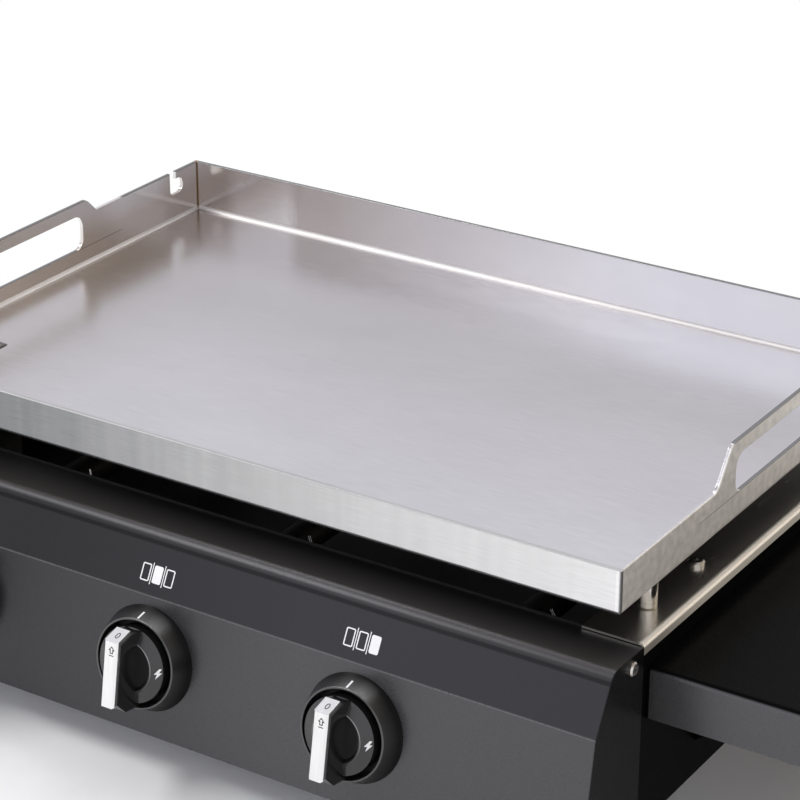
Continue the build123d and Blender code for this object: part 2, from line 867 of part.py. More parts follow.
# The grip's side outline, seen along X: height over the panel against the way up the panel
grip_run = grip_end - grip_flat
grip_climb = grip_height - grip_end_height
grip_slant = sqrt(grip_run**2 + grip_climb**2)
inner_end = grip_end - stripe_thickness * grip_climb / grip_slant
inner_end_height = grip_end_height - stripe_thickness * grip_run / grip_slant
inner_top = grip_height - stripe_thickness
inner_flat = inner_end - (inner_top - inner_end_height) * grip_run / grip_climb


def grip_plane(side):
    centre = Vector(knob_x(side), knob_y, knob_z)
    up_panel = (0, sin(radians(face_tilt)), cos(radians(face_tilt)))
    return Plane(origin=centre, x_dir=up_panel, z_dir=(1, 0, 0))


# Dials: a hollow cap with a coned shoulder, a dished crown and a grip across it
def dial(side, name):
    with BuildPart() as cap:
        with BuildSketch(knob_plane(side, dial_back)):
            Circle(dial_radius)
        extrude(amount=dial_shoulder - dial_back)
        with BuildSketch(knob_plane(side, dial_shoulder)):
            Circle(dial_radius)
        with BuildSketch(knob_plane(side, dial_crown)):
            Circle(dial_crown_radius)
        loft()
        crown = cap.faces().filter_by(GeomType.PLANE).sort_by(Axis(cap.part.center(), outward))[-1]
        chamfer(crown.edges(), dial_edge)
        with BuildSketch(knob_plane(side, dial_dish)):
            Circle(dial_crown_radius - dial_wall)
        with BuildSketch(knob_plane(side, dial_crown)):
            Circle(dial_crown_radius - dial_rim)
        loft(mode=Mode.SUBTRACT)
        with BuildSketch(grip_plane(side)):
            with BuildLine():
                Polyline(
                    (-grip_end, dial_shoulder - dial_wall),
                    (-grip_end, grip_end_height),
                    (-inner_flat, inner_top),
                    (inner_flat, inner_top),
                    (inner_end, inner_end_height),
                    (inner_end, dial_shoulder - dial_wall),
                    close=True,
                )
            make_face()
        extrude(amount=grip_width / 2, both=True)
        with BuildSketch(knob_plane(side, dial_back)):
            Circle(dial_radius - dial_wall)
            Circle(dial_hub_radius, mode=Mode.SUBTRACT)
        extrude(amount=dial_shoulder - dial_wall - dial_back, mode=Mode.SUBTRACT)
        with BuildSketch(knob_plane(side, dial_back)):
            Circle(stem_radius + stem_fit)
            with Locations((stem_radius - stem_flat / 2 + stem_fit, 0)):
                Rectangle(stem_flat, 2 * (stem_radius + stem_fit), mode=Mode.SUBTRACT)
        extrude(amount=stem_reach + stem_fit - dial_back, mode=Mode.SUBTRACT)
    save(cap, name)


# Stripes: a bright bevelled strip over the grip's top and its upper end
def dial_stripe(side, name):
    with BuildPart() as stripe:
        with BuildSketch(grip_plane(side)):
            with BuildLine():
                Polyline(
                    (-inner_flat, inner_top),
                    (-grip_flat, grip_height),
                    (grip_flat, grip_height),
                    (grip_end, grip_end_height),
                    (inner_end, inner_end_height),
                    (inner_flat, inner_top),
                    close=True,
                )
            make_face()
        extrude(amount=stripe_width / 2, both=True)
        top = stripe.faces().filter_by(Axis(stripe.part.center(), outward)).sort_by(
            Axis(stripe.part.center(), outward)
        )[-1]
        chamfer(top.edges().filter_by(GeomType.LINE).filter_by(Axis.X, reverse=True), stripe_chamfer)
    save(stripe, name)


for zone, side in zones.items():
    valve_stem(side, f"valve_stem_{zone}")
    spring_seat(side, f"spring_seat_{zone}")
    dial(side, f"dial_{zone}")
    dial_stripe(side, f"dial_stripe_{zone}")

# Drain chute: a square duct from under the drain hole down to the drawer
with BuildPart() as drain_chute:
    chute_bottom = foot_height - chute_below
    with BuildSketch(Plane.XY.offset(chute_bottom)):
        with Locations((chute_x, drain_y)):
            Rectangle(chute_width, chute_length)
            Rectangle(chute_width - 2 * chute_sheet, chute_length - 2 * chute_sheet, mode=Mode.SUBTRACT)
    extrude(amount=plate_z - chute_top_gap - chute_bottom)
save(drain_chute, "drain_chute")

# Grease drawer: a tray with side flanges and a pull, which slides out to the left
drawer_top = foot_height - drawer_top_gap
with BuildPart() as grease_drawer:
    with BuildSketch(Plane.XY.offset(drawer_top - drawer_depth)):
        with Locations((drawer_left + drawer_length / 2, drain_y)):
            Rectangle(drawer_length, drawer_width)
    extrude(amount=drawer_depth)
    offset(amount=-drawer_sheet, openings=grease_drawer.faces().sort_by(Axis.Z)[-1])
    with BuildSketch(Plane.XY.offset(drawer_top)):
        with Locations((drawer_left + drawer_length / 2, drain_y)):
            Rectangle(drawer_length, drawer_width + 2 * drawer_flange)
            Rectangle(drawer_length - 2 * drawer_sheet, drawer_width - 2 * drawer_sheet, mode=Mode.SUBTRACT)
    extrude(amount=-drawer_sheet)
    with BuildSketch(Plane.XY.offset(drawer_top)):
        with Locations((drawer_left - drawer_pull / 2, drain_y)):
            Rectangle(drawer_pull, drawer_width)
    extrude(amount=-drawer_sheet)
    with BuildSketch(Plane.XY.offset(drawer_top)):
        with Locations((drawer_left - drawer_pull + drawer_sheet / 2, drain_y)):
            Rectangle(drawer_sheet, drawer_width)
    extrude(amount=-drawer_pull_height)
save(grease_drawer, "grease_drawer")

# Runners: angles under the base pan whose ledges carry the drawer's flanges
with BuildPart() as drawer_runners:
    ledge_top = drawer_top - drawer_sheet
    ledge_start = drawer_width / 2 + drawer_side_gap
    web_start = drawer_width / 2 + drawer_flange + runner_gap
    for side in (-1, 1):
        with BuildSketch(Plane.YZ.offset(-wall_inside)):
            with BuildLine():
                Polyline(
                    (drain_y + side * ledge_start, ledge_top),
                    (drain_y + side * web_start, ledge_top),
                    (drain_y + side * web_start, foot_height),
                    (drain_y + side * (web_start + runner_sheet), foot_height),
                    (drain_y + side * (web_start + runner_sheet), ledge_top - runner_sheet),
                    (drain_y + side * ledge_start, ledge_top - runner_sheet),
                    close=True,
                )
            make_face()
    extrude(amount=drawer_length - sheet)
save(drawer_runners, "drawer_runners")


# Side shelf: an upside-down tray against the right side panel
def shelf_block(inset):
    with BuildPart() as block:
        with BuildSketch(Plane.XY.offset(shelf_bottom)):
            with Locations((skin_inside + shelf_width / 2, shelf_y)):
                Rectangle(shelf_width - 2 * inset, shelf_depth - 2 * inset)
        extrude(amount=shelf_apron - inset)
        fillet(block.edges().filter_by(Axis.Z).group_by(Axis.X)[-1], shelf_corner - inset)
        top_edges = block.faces().sort_by(Axis.Z)[-1].edges().sort_by(Axis.X)
        fillet(top_edges[1:], shelf_round - inset)
    return block


shelf_outside = shelf_block(0)
shelf_hollow = shelf_block(sheet)
with BuildPart() as shelf_right:
    add(shelf_outside.part)
    add(shelf_hollow.part, mode=Mode.SUBTRACT)
    with Locations(Plane.YZ.offset(skin_inside)):
        with Locations(*shelf_bolts):
            Cylinder(shelf_screw_radius + bore_clearance, 2 * (sheet + bore_clearance), mode=Mode.SUBTRACT)
save(shelf_right, "shelf_right")

# Brackets: two gussets under the shelf, against the side panel
with BuildPart() as shelf_brackets_right:
    for gusset_y in (-bracket_spread / 2, bracket_spread / 2):
        with BuildSketch(Plane.XZ.offset(-shelf_y - gusset_y)):
            with BuildLine():
                Polyline(
                    (skin_inside, shelf_bottom - bracket_drop),
                    (skin_inside, shelf_bottom),
                    (half_base, shelf_bottom),
                    (half_base, shelf_z - sheet),
                    (half_base + bracket_reach, shelf_z - sheet),
                    (half_base + bracket_reach, shelf_z - sheet - bracket_nose),
                    close=True,
                )
            make_face()
    extrude(amount=bracket_sheet / 2, both=True)
save(shelf_brackets_right, "shelf_brackets_right")

# Feet: rubber cones under the base pan, each with a well for its screw
foot_places = [
    (side * foot_x, foot_y) for side in (-1, 1) for foot_y in (-foot_front, foot_back)
]
with BuildPart() as rubber_feet:
    for place in foot_places:
        with BuildSketch():
            with Locations(place):
                Circle(foot_radius)
        with BuildSketch(Plane.XY.offset(foot_height)):
            with Locations(place):
                Circle(foot_top_radius)
        loft()
    with BuildSketch():
        with Locations(*foot_places):
            Circle(foot_well_radius)
    extrude(amount=foot_well, mode=Mode.SUBTRACT)
    with BuildSketch():
        with Locations(*foot_places):
            Circle(foot_screw_radius + bore_clearance)
    extrude(amount=foot_height, mode=Mode.SUBTRACT)
save(rubber_feet, "rubber_feet")


# Screws: a domed head with a cross recess on a plain shank, seated on each given plane
def screws(seats, shank_radius, head_radius, head, grip, name):
    with BuildPart() as group:
        for seat in seats:
            with BuildSketch(seat):
                Circle(head_radius)
            extrude(amount=head - screw_dome)
            with BuildSketch(seat.offset(head - screw_dome)):
                Circle(head_radius)
            with BuildSketch(seat.offset(head)):
                Circle(head_radius - screw_dome)
            loft()
            with BuildSketch(seat):
                Circle(shank_radius)
            extrude(amount=-grip)
            with BuildSketch(seat.offset(head)):
                Rectangle(cross_length, cross_width)
                Rectangle(cross_width, cross_length)
            extrude(amount=-cross_depth, mode=Mode.SUBTRACT)
    save(group, name)


foot_screw_grip = foot_height - foot_well + sheet + foot_screw_past
foot_seats = [
    Plane(origin=(x, y, foot_well), x_dir=(1, 0, 0), z_dir=(0, 0, -1)) for x, y in foot_places
]
screws(foot_seats, foot_screw_radius, foot_screw_head_radius, foot_screw_head, foot_screw_grip, "foot_screws")

panel_seats = [
    Plane(
        origin=(side * half_base, panel_screw_y, panel_screw_z),
        x_dir=(0, 1, 0),
        z_dir=(side, 0, 0),
    )
    for side in (-1, 1)
]
screws(
    panel_seats,
    panel_screw_radius,
    panel_screw_head_radius,
    panel_screw_head,
    panel_screw_grip,
    "panel_screws",
)

rail_seats = [
    Plane(
        origin=(side_x * rail_screw_x, end_y * rail_screw_gap / 2, rail_z),
        x_dir=(1, 0, 0),
        z_dir=(0, 0, 1),
    )
    for side_x in (-1, 1)
    for end_y in (-1, 1)
]
screws(rail_seats, rail_screw_radius, rail_screw_head_radius, rail_screw_head, rail_screw_grip, "rail_screws")

shelf_seats = [
    Plane(origin=(half_base, bolt_y, bolt_z), x_dir=(0, 1, 0), z_dir=(1, 0, 0)) for bolt_y, bolt_z in shelf_bolts
]
screws(
    shelf_seats,
    shelf_screw_radius,
    shelf_screw_head_radius,
    shelf_screw_head,
    shelf_screw_grip,
    "shelf_screws",
)
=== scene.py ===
# %% [markdown]
# # A gas griddle in a plain studio
#
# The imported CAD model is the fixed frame: every solid is already where it belongs, in metres, with +X to
# the right, +Y to the back and +Z up. This script sets the camera and the light, gives every surface its
# finish and adds the prints that are too thin to be solids: burner icons, index ticks and the marks on the
# dials.

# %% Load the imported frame
import json
from math import cos, pi, radians, sin

import bmesh
import bpy
from mathutils import Matrix, Quaternion, Vector


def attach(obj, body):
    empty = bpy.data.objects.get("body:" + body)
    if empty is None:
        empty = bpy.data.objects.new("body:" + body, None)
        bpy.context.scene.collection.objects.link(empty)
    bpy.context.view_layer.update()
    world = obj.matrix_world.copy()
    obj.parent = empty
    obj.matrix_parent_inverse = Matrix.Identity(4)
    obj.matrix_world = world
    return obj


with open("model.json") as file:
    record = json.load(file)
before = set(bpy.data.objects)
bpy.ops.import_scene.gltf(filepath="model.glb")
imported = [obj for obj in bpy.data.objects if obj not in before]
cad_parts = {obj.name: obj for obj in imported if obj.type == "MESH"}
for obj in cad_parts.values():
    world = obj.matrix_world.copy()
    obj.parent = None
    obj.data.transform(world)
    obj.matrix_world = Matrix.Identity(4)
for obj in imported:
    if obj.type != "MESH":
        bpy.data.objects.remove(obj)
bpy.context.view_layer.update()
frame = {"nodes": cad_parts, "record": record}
scene = bpy.context.scene

# %% [markdown]
# ## Camera
#
# The photograph was taken from the front right, a good way off with a long lens. A camera can be set by eye
# in the viewport, but then it never quite fits. Here the direction, the distance and the focal length come
# from a fit to the straight edges of the cooking plate.

# %% Camera
azimuth = radians(32.7368)
elevation = radians(24.5158)
roll = radians(0.0976)
distance = 1.89955
aim = Vector((-0.07472, -0.01790, 0.177))
away = Vector((sin(azimuth) * cos(elevation), -cos(azimuth) * cos(elevation), sin(elevation)))

lens = bpy.data.cameras.new("camera")
lens.sensor_width = 36.0
lens.lens = 126.58
camera = bpy.data.objects.new("camera", lens)
camera.location = aim + away * distance
camera.rotation_mode = "QUATERNION"
camera.rotation_quaternion = Quaternion(away, roll) @ away.to_track_quat("Z", "Y")
scene.collection.objects.link(camera)
scene.camera = camera
scene.view_settings.view_transform = "Standard"
print("camera at", [round(value, 3) for value in camera.location])

# %% [markdown]
# ## Building blocks for the materials
#
# A finish is what a surface does to light: its colour, its roughness and its small bumps. It could be
# painted as images, but nodes that read the position in the object need no files and stay sharp at every
# size. Each helper adds one node or two, so that a finish reads as a short list of steps. A mask is a value
# from 0 to 1.


# %% Node helpers
def add(tree, kind, sockets=None, **settings):
    node = tree.nodes.new(kind)
    for name, value in settings.items():
        setattr(node, name, value)
    for socket, value in (sockets or {}).items():
        if isinstance(value, bpy.types.NodeSocket):
            tree.links.new(value, node.inputs[socket])
        else:
            node.inputs[socket].default_value = value
    return node


def position(tree):
    return add(tree, "ShaderNodeTexCoord").outputs["Object"]


def axes(tree):
    return add(tree, "ShaderNodeSeparateXYZ", {0: position(tree)}).outputs


def maths(tree, operation, first, second=0.0):
    return add(tree, "ShaderNodeMath", {0: first, 1: second}, operation=operation).outputs[0]


def vector_maths(tree, operation, sockets, output):
    return add(tree, "ShaderNodeVectorMath", sockets, operation=operation).outputs[output]


def ramp(tree, value, start, end, low=0.0, high=1.0):
    sockets = {"Value": value, "From Min": start, "From Max": end, "To Min": low, "To Max": high}
    return add(tree, "ShaderNodeMapRange", sockets).outputs["Result"]


print("node helpers ready")


# %% Masks and mixes
def both(tree, first, second):
    return maths(tree, "MULTIPLY", first, second)


def either(tree, first, second):
    return maths(tree, "MAXIMUM", first, second)


def opposite(tree, mask):
    return ramp(tree, mask, 1, 0)


def between(tree, value, low, high, soft=0.0006):
    return both(tree, ramp(tree, value, low, low + soft), ramp(tree, value, high, high - soft))


def switch(tree, mask, off, on):
    return ramp(tree, mask, 0, 1, off, on)


def mixed(tree, factor, first, second):
    return add(tree, "ShaderNodeMix", {0: factor, 6: first, 7: second}, data_type="RGBA").outputs[2]


def mixed_value(tree, factor, first, second):
    return add(tree, "ShaderNodeMix", {0: factor, 2: first, 3: second}, data_type="FLOAT").outputs[0]


def scaled(tree, colour, factor):
    return vector_maths(tree, "SCALE", {0: colour, "Scale": factor}, "Vector")


def grey(value, warmth=0.0):
    return (value * (1 + warmth), value, value * (1 - warmth), 1.0)


print("masks and mixes ready")


# %% Noise and surfaces
def noise(tree, per_metre, detail=3.0):
    stretched = add(tree, "ShaderNodeMapping", {"Vector": position(tree), "Scale": per_metre})
    sockets = {"Vector": stretched.outputs["Vector"], "Scale": 1.0, "Detail": detail}
    return add(tree, "ShaderNodeTexNoise", sockets).outputs["Fac"]


def spread(tree, grain, low=0.0, high=1.0):
    return ramp(tree, grain, 0.3, 0.7, low, high)


def opened(material):
    return material.node_tree, material.node_tree.nodes["Principled BSDF"]


def surface(name, **constants):
    material = bpy.data.materials.new(name)
    material.use_nodes = True
    tree, shader = opened(material)
    for socket, value in constants.items():
        shader.inputs[socket.replace("_", " ")].default_value = value
    return material, tree, shader


def plug(shader, socket, value):
    shader.id_data.links.new(value, shader.inputs[socket])


def plugged(shader, socket):
    return shader.inputs[socket].links[0].from_socket


def bump(tree, shader, height, depth, strength=1.0):
    node = add(tree, "ShaderNodeBump", {"Height": height, "Distance": depth, "Strength": strength})
    plug(shader, "Normal", node.outputs["Normal"])


def finish(name, dark, light, per_metre, rough, depth=0.00002, **constants):
    look, tree, shader = surface(name, **constants)
    grain = noise(tree, per_metre)
    plug(shader, "Base Color", mixed(tree, spread(tree, grain), dark, light))
    plug(shader, "Roughness", spread(tree, grain, *rough))
    bump(tree, shader, grain, depth)
    return look


looks = {}
print("noise and surfaces ready")

# %% [markdown]
# ## Studio
#
# A product studio is a white tent with soft boxes round the table. It could be lit by a panorama image, but
# a sky of a few mixed colours needs no file and each side can be set on its own: bright in front for the
# black panel, dim and warm behind for the steel. The camera itself sees a white backdrop instead of this
# sky.

# %% Sky
behind_left = (0.78, 0.77, 0.81, 1)
behind_right = (0.42, 0.37, 0.33, 1)
ahead_low = (1.05, 1.05, 1.11, 1)
ahead_high = (0.40, 0.40, 0.42, 1)
left_to_right = (-0.2, 0.4)
low_to_high = (0.45, 0.75)
back_to_front = (0.1, -0.3)
world = bpy.data.worlds.new("studio")
scene.world = world
world.use_nodes = True
sky = world.node_tree
direction = add(sky, "ShaderNodeTexCoord").outputs["Generated"]
heading = add(sky, "ShaderNodeSeparateXYZ", {0: direction}).outputs
behind = mixed(sky, ramp(sky, heading["X"], *left_to_right), behind_left, behind_right)
ahead = mixed(sky, ramp(sky, heading["Z"], *low_to_high), ahead_low, ahead_high)
tent = mixed(sky, ramp(sky, heading["Y"], *back_to_front), behind, ahead)
seen_directly = add(sky, "ShaderNodeLightPath").outputs["Is Camera Ray"]
plug(sky.nodes["Background"], "Color", mixed(sky, seen_directly, tent, grey(1.0)))
print("sky ready")

# %% [markdown]
# ## Soft boxes
#
# Three soft boxes light the griddle: a long one at the front left for the panel's bend, one overhead for
# the bezels and a warm one at the right for the rail. Sun or point lamps would give hard dots on the steel,
# so area lamps of the real size of a soft box are used. Their strength is given as radiance, so that a lamp
# keeps its brightness in a mirror image when its size is changed.

# %% Soft boxes
plate_x = -0.106


def soft_box(name, place, target, width, height, radiance, colour=(1, 1, 1)):
    lamp = bpy.data.lights.new(name, "AREA")
    lamp.shape = "RECTANGLE"
    lamp.size = width
    lamp.size_y = height
    lamp.energy = radiance * pi * width * height
    lamp.color = colour
    holder = bpy.data.objects.new(name, lamp)
    holder.location = place
    holder.rotation_euler = (Vector(place) - Vector(target)).to_track_quat("Z", "Y").to_euler()
    holder.visible_camera = False
    scene.collection.objects.link(holder)


soft_box("key", place=(plate_x - 0.87, -0.68, 1.41), target=(plate_x, -0.22, 0.15),
         width=1.0, height=0.36, radiance=9.8)
soft_box("overhead", place=(plate_x + 0.15, 0.55, 1.75), target=(plate_x, -0.1, 0.15),
         width=1.1, height=0.6, radiance=3.4)
soft_box("warm_right", place=(plate_x + 1.35, 0.85, 0.40), target=(plate_x + 0.3, 0, 0.19),
         width=0.9, height=0.5, radiance=4.0, colour=(1.0, 0.93, 0.86))
print("lamps:", len(bpy.data.lights))

# %% [markdown]
# ## Floor
#
# The real table is white paper, which the photograph shows without any edge. A plain white material would
# turn grey away from the lamps, so the paper fades into a white glow with the distance from the griddle.
# Only rays that are seen meet the glow: the light that the paper throws back on the steel stays real.

# %% Floor sheet
floor_half = 9.0
floor_mesh = bpy.data.meshes.new("floor")
sheet = bmesh.new()
bmesh.ops.create_grid(sheet, x_segments=1, y_segments=1, size=floor_half)
sheet.to_mesh(floor_mesh)
sheet.free()
floor = bpy.data.objects.new("floor", floor_mesh)
scene.collection.objects.link(floor)
print("floor faces:", len(floor_mesh.polygons))

# %% Floor paper
shadow_middle = (0.05, -0.20, 0.0)
fade_start = 0.40
fade_end = 0.75
paper_dark = grey(0.9)
paper_light = grey(0.94)
paper, tree, shader = surface("paper", Roughness=1.0, Specular_IOR_Level=0.0)
fibre = noise(tree, (60, 60, 60), 2.0)
plug(shader, "Base Color", mixed(tree, fibre, paper_dark, paper_light))
from_shadow = vector_maths(tree, "DISTANCE", {0: position(tree), 1: shadow_middle}, "Value")
path = add(tree, "ShaderNodeLightPath").outputs
seen = either(tree, path["Is Camera Ray"], path["Is Glossy Ray"])
seen = either(tree, seen, path["Is Transmission Ray"])
fade = both(tree, ramp(tree, from_shadow, fade_start, fade_end), seen)
glow = add(tree, "ShaderNodeEmission", {"Color": grey(1.0), "Strength": 1.0}).outputs["Emission"]
faded = add(tree, "ShaderNodeMixShader", {0: fade, 1: shader.outputs["BSDF"], 2: glow})
plug(tree.nodes["Material Output"], "Surface", faded.outputs["Shader"])
floor_mesh.materials.append(paper)
print("paper fades from", fade_start, "to", fade_end)

# %% [markdown]
# ## Cooking plate: masks
#
# The plate is one stainless sheet, folded up on all sides. Its faces look different, because each one
# mirrors another part of the studio and is brushed another way. The faces could get a material each, but
# the CAD mesh is one node with one slot, so masks made from the position tell the faces apart inside one
# material. Each pair of numbers says where a mask begins and where it is full.

# %% Cooking plate: faces
front_face = (-0.1975, -0.1985)
back_face = (0.1955, 0.1968)
left_face = (-0.2955, -0.2968)
right_face = (0.2985, 0.2995)
fold_end = (0.1815, 0.1830)
plate, tree, shader = surface("plate_steel", Metallic=1.0)
looks["plate_steel"] = plate
place = axes(tree)
across = maths(tree, "SUBTRACT", place["X"], plate_x)
along = place["Y"]
above_fold = ramp(tree, place["Z"], *fold_end)
at_left = ramp(tree, across, *left_face)
on_front = ramp(tree, along, *front_face)
on_back = both(tree, ramp(tree, along, *back_face), above_fold)
on_left = both(tree, at_left, above_fold)
on_right = ramp(tree, across, *right_face)
smooth_wall = either(tree, on_back, on_left)
print("plate faces ready")

# %% Cooking plate: folds and edges
ear_foot = (0.100, 0.104)
back_foot = (0.192, 0.195)
left_foot = (-0.292, -0.295)
fold_band = (0.1800, 0.1830, 0.0003)
sill_band = (0.1931, 0.1937, 0.0001)
lip_top = (0.2042, 0.2047)
lip_inside = (-0.1962, -0.1968)
end_band = (0.2962, 0.2986)
corner_band = (-0.2003, -0.1976, 0.0003)
wall_top = (0.2183, 0.2187)
ear_top = (0.2293, 0.2297)
seam_start = (0.1950, 0.1966)
beside_ear = ramp(tree, maths(tree, "ABSOLUTE", along), *ear_foot)
by_a_wall = either(tree, ramp(tree, along, *back_foot), ramp(tree, across, *left_foot))
fold = both(tree, between(tree, place["Z"], *fold_band), by_a_wall)
slot_sill = both(tree, between(tree, place["Z"], *sill_band), opposite(tree, beside_ear))
front_lip = both(tree, ramp(tree, place["Z"], *lip_top), ramp(tree, along, *lip_inside))
front_end = both(tree, between(tree, across, *end_band), on_front)
corner_line = both(tree, between(tree, along, *corner_band), on_right)
wall_edge = both(tree, ramp(tree, place["Z"], *wall_top), beside_ear)
cut_edge = either(tree, wall_edge, ramp(tree, place["Z"], *ear_top))
seam = both(tree, at_left, ramp(tree, along, *seam_start))
print("plate folds and edges ready")

# %% [markdown]
# ## Cooking plate: steel
#
# Brushed stainless steel is a metal with fine scratches in one direction. They could be painted as an
# image, but noise stretched along X gives endless streaks without one. First the masks lay a tint on each
# face, which stands for the part of the real studio that the face mirrors. Then the streaks change the
# colour a little and the roughness more, and a very shallow bump breaks up the mirror image.

# %% Cooking plate: floor and walls
floor_fade = (0.06, -0.13)
floor_back = (0.60, 0.585, 0.60, 1)
floor_front = (0.72, 0.71, 0.735, 1)
left_fade = (-0.15, -0.27, 0.0, 0.7)
floor_left = (0.585, 0.56, 0.55, 1)
back_fade = (-0.17, 0.12)
back_left = (0.505, 0.465, 0.445, 1)
back_right = (0.97, 0.97, 1.0, 1)
patch_band = (-0.27, -0.20, 0.012)
patch_light = 0.35
wall_fade = (-0.06, 0.12)
wall_rise = (0.200, 0.222)
low_front = (0.98, 0.94, 0.90, 1)
low_back = (0.62, 0.57, 0.53, 1)
right_dark = (0.585, 0.568, 0.54, 1)
right_light = (0.73, 0.71, 0.675, 1)
high_front = grey(1.0)
high_back = grey(0.84)
steel = mixed(tree, ramp(tree, along, *floor_fade), floor_back, floor_front)
steel = mixed(tree, ramp(tree, across, *left_fade), steel, floor_left)
lit_patch = both(tree, between(tree, across, *patch_band), patch_light)
to_right = either(tree, ramp(tree, across, *back_fade), lit_patch)
steel = mixed(tree, on_back, steel, mixed(tree, to_right, back_left, back_right))
to_back = ramp(tree, along, *wall_fade)
low_left = mixed(tree, to_back, low_front, low_back)
high_left = mixed(tree, to_back, high_front, high_back)
steel = mixed(tree, on_left, steel, mixed(tree, ramp(tree, place["Z"], *wall_rise), low_left, high_left))
mottle = noise(tree, (160, 160, 160))
steel = mixed(tree, on_right, steel, mixed(tree, spread(tree, mottle), right_dark, right_light))
print("plate floor and walls tinted")

# %% Cooking plate: front, folds and edges
front_fade = (-0.15, 0.30)
front_left = (0.265, 0.27, 0.275, 1)
front_right = (0.87, 0.87, 0.87, 1)
blotch_span = (-0.045, 0.045)
# Painted reflection on the front wall: a tint from dark at the left to light at the right, with soft
# blotches, stands for the floor in front that the wall mirrors.
blotches = noise(tree, (100, 4, 4), 2.0)
front_painted_reflection = maths(tree, "ADD", ramp(tree, across, *front_fade), spread(tree, blotches, *blotch_span))
steel = mixed(tree, on_front, steel, mixed(tree, front_painted_reflection, front_left, front_right))
# Painted highlight on the front wall's rounded right end, a painted dark line beside it on the right wall,
# and painted shade on the front lip that dims its highlight. The fold keeps a plain steel tone, the cut edges
# and the slot's sill are darker grey, and the seam is brown.
edge_tints = [
    (front_end, grey(0.97)),
    (corner_line, grey(0.16)),
    (fold, (0.74, 0.72, 0.71, 1)),
    (either(tree, cut_edge, slot_sill), grey(0.24)),
    (front_lip, grey(0.50)),
    (seam, (0.30, 0.22, 0.14, 1)),
]
for mask, tint in edge_tints:
    steel = mixed(tree, mask, steel, tint)
print("edge tints:", len(edge_tints))

# %% Cooking plate: brushing
cloud_span = (0.97, 1.03)
floor_brush = (0.035, 0.0)
front_brush = (0.0, 0.03)
satin_span = (0.18, 0.27)
wall_satin = (1.0, 0.65)
dull_rough = (0.0, 0.36)
wall_grain = (1.0, 0.1)
scratch_depth = 0.00003
clouds = noise(tree, (9, 14, 14))
streaks = noise(tree, (45, 900, 900))
brush_depth = switch(tree, smooth_wall, *floor_brush)
brush_depth = maths(tree, "ADD", brush_depth, switch(tree, on_front, *front_brush))
brushing = both(tree, spread(tree, streaks, -1, 1), brush_depth)
steel = scaled(tree, steel, spread(tree, clouds, *cloud_span))
steel = scaled(tree, steel, maths(tree, "ADD", brushing, 1.0))
plug(shader, "Base Color", steel)
satin = both(tree, spread(tree, streaks, *satin_span), switch(tree, smooth_wall, *wall_satin))
dull = either(tree, on_right, either(tree, fold, front_lip))
plug(shader, "Roughness", maths(tree, "ADD", satin, switch(tree, dull, *dull_rough)))
grainy = switch(tree, either(tree, smooth_wall, on_right), *wall_grain)
bump(tree, shader, streaks, scratch_depth, grainy)
print("plate steel ready")

# %% [markdown]
# ## Plain metals
#
# Posts, rails, pipes and screws are bare metal. They could have a node tree each, but they differ only in
# colour, grain and roughness, so one recipe serves them all: a dark and a light tone, the grain per metre
# and the span of the roughness. Stretched grain stands for drawn or rolled stock, even grain for cast
# alloy.

# %% Plain metals
metals = {
    "post_steel": ((0.64, 0.61, 0.56, 1), (0.74, 0.71, 0.66, 1), (60, 60, 700), (0.12, 0.2)),
    "rail_steel": ((0.675, 0.645, 0.585, 1), (0.69, 0.66, 0.60, 1), (40, 6, 40), (0.25, 0.28), 0.000001),
    # burner_steel is almost black: partly heat tint, mostly painted shade that keeps the burners dark in the
    # gap under the plate.
    "burner_steel": ((0.03, 0.028, 0.025, 1), (0.06, 0.055, 0.05, 1), (90, 20, 90), (0.55, 0.7)),
    "drawer_steel": ((0.55, 0.55, 0.54, 1), (0.64, 0.64, 0.63, 1), (20, 500, 500), (0.26, 0.36)),
    "zinc_sheet": ((0.50, 0.51, 0.53, 1), (0.64, 0.65, 0.66, 1), (70, 70, 70), (0.34, 0.48)),
    "gas_pipe": ((0.46, 0.46, 0.47, 1), (0.58, 0.58, 0.59, 1), (120, 120, 120), (0.3, 0.42)),
    "brass": ((0.70, 0.50, 0.22, 1), (0.80, 0.60, 0.30, 1), (300, 300, 300), (0.2, 0.3)),
    "valve_alloy": (grey(0.48), grey(0.60), (250, 250, 250), (0.42, 0.55), 0.00006),
    "seat_steel": (grey(0.66), grey(0.74), (400, 400, 400), (0.14, 0.22)),
    "stripe_chrome": (grey(0.90), grey(0.96), (600, 60, 60), (0.16, 0.24)),
    "screw_steel": ((0.60, 0.58, 0.54, 1), (0.72, 0.70, 0.66, 1), (500, 500, 500), (0.14, 0.24)),
}
for name, recipe in metals.items():
    looks[name] = finish(name, *recipe, Metallic=1.0)
print("metals:", len(metals))

# %% [markdown]
# ## Rails
#
# Each side rail is a stainless strip with a rolled outer edge and a short flange. Rolling leaves the edge
# duller than the top, and the flange's front end lies in shade. A second material would need a cut through
# the mesh, so two masks change the roughness and the tone of the plain metal.

# %% Rails
edge_start = (0.3055, 0.3075)
edge_rough = 0.32
flange_top = (0.1525, 0.1510)
flange_fade = (-0.175, -0.125, 0.55, 1.1)
tree, shader = opened(looks["rail_steel"])
place = axes(tree)
from_middle = maths(tree, "ABSOLUTE", maths(tree, "SUBTRACT", place["X"], plate_x))
rolled = ramp(tree, from_middle, *edge_start, 0.0, edge_rough)
plug(shader, "Roughness", maths(tree, "ADD", plugged(shader, "Roughness"), rolled))
on_flange = ramp(tree, place["Z"], *flange_top)
shade = mixed_value(tree, on_flange, 1.0, ramp(tree, place["Y"], *flange_fade))
plug(shader, "Base Color", scaled(tree, plugged(shader, "Base Color"), shade))
print("rails ready")

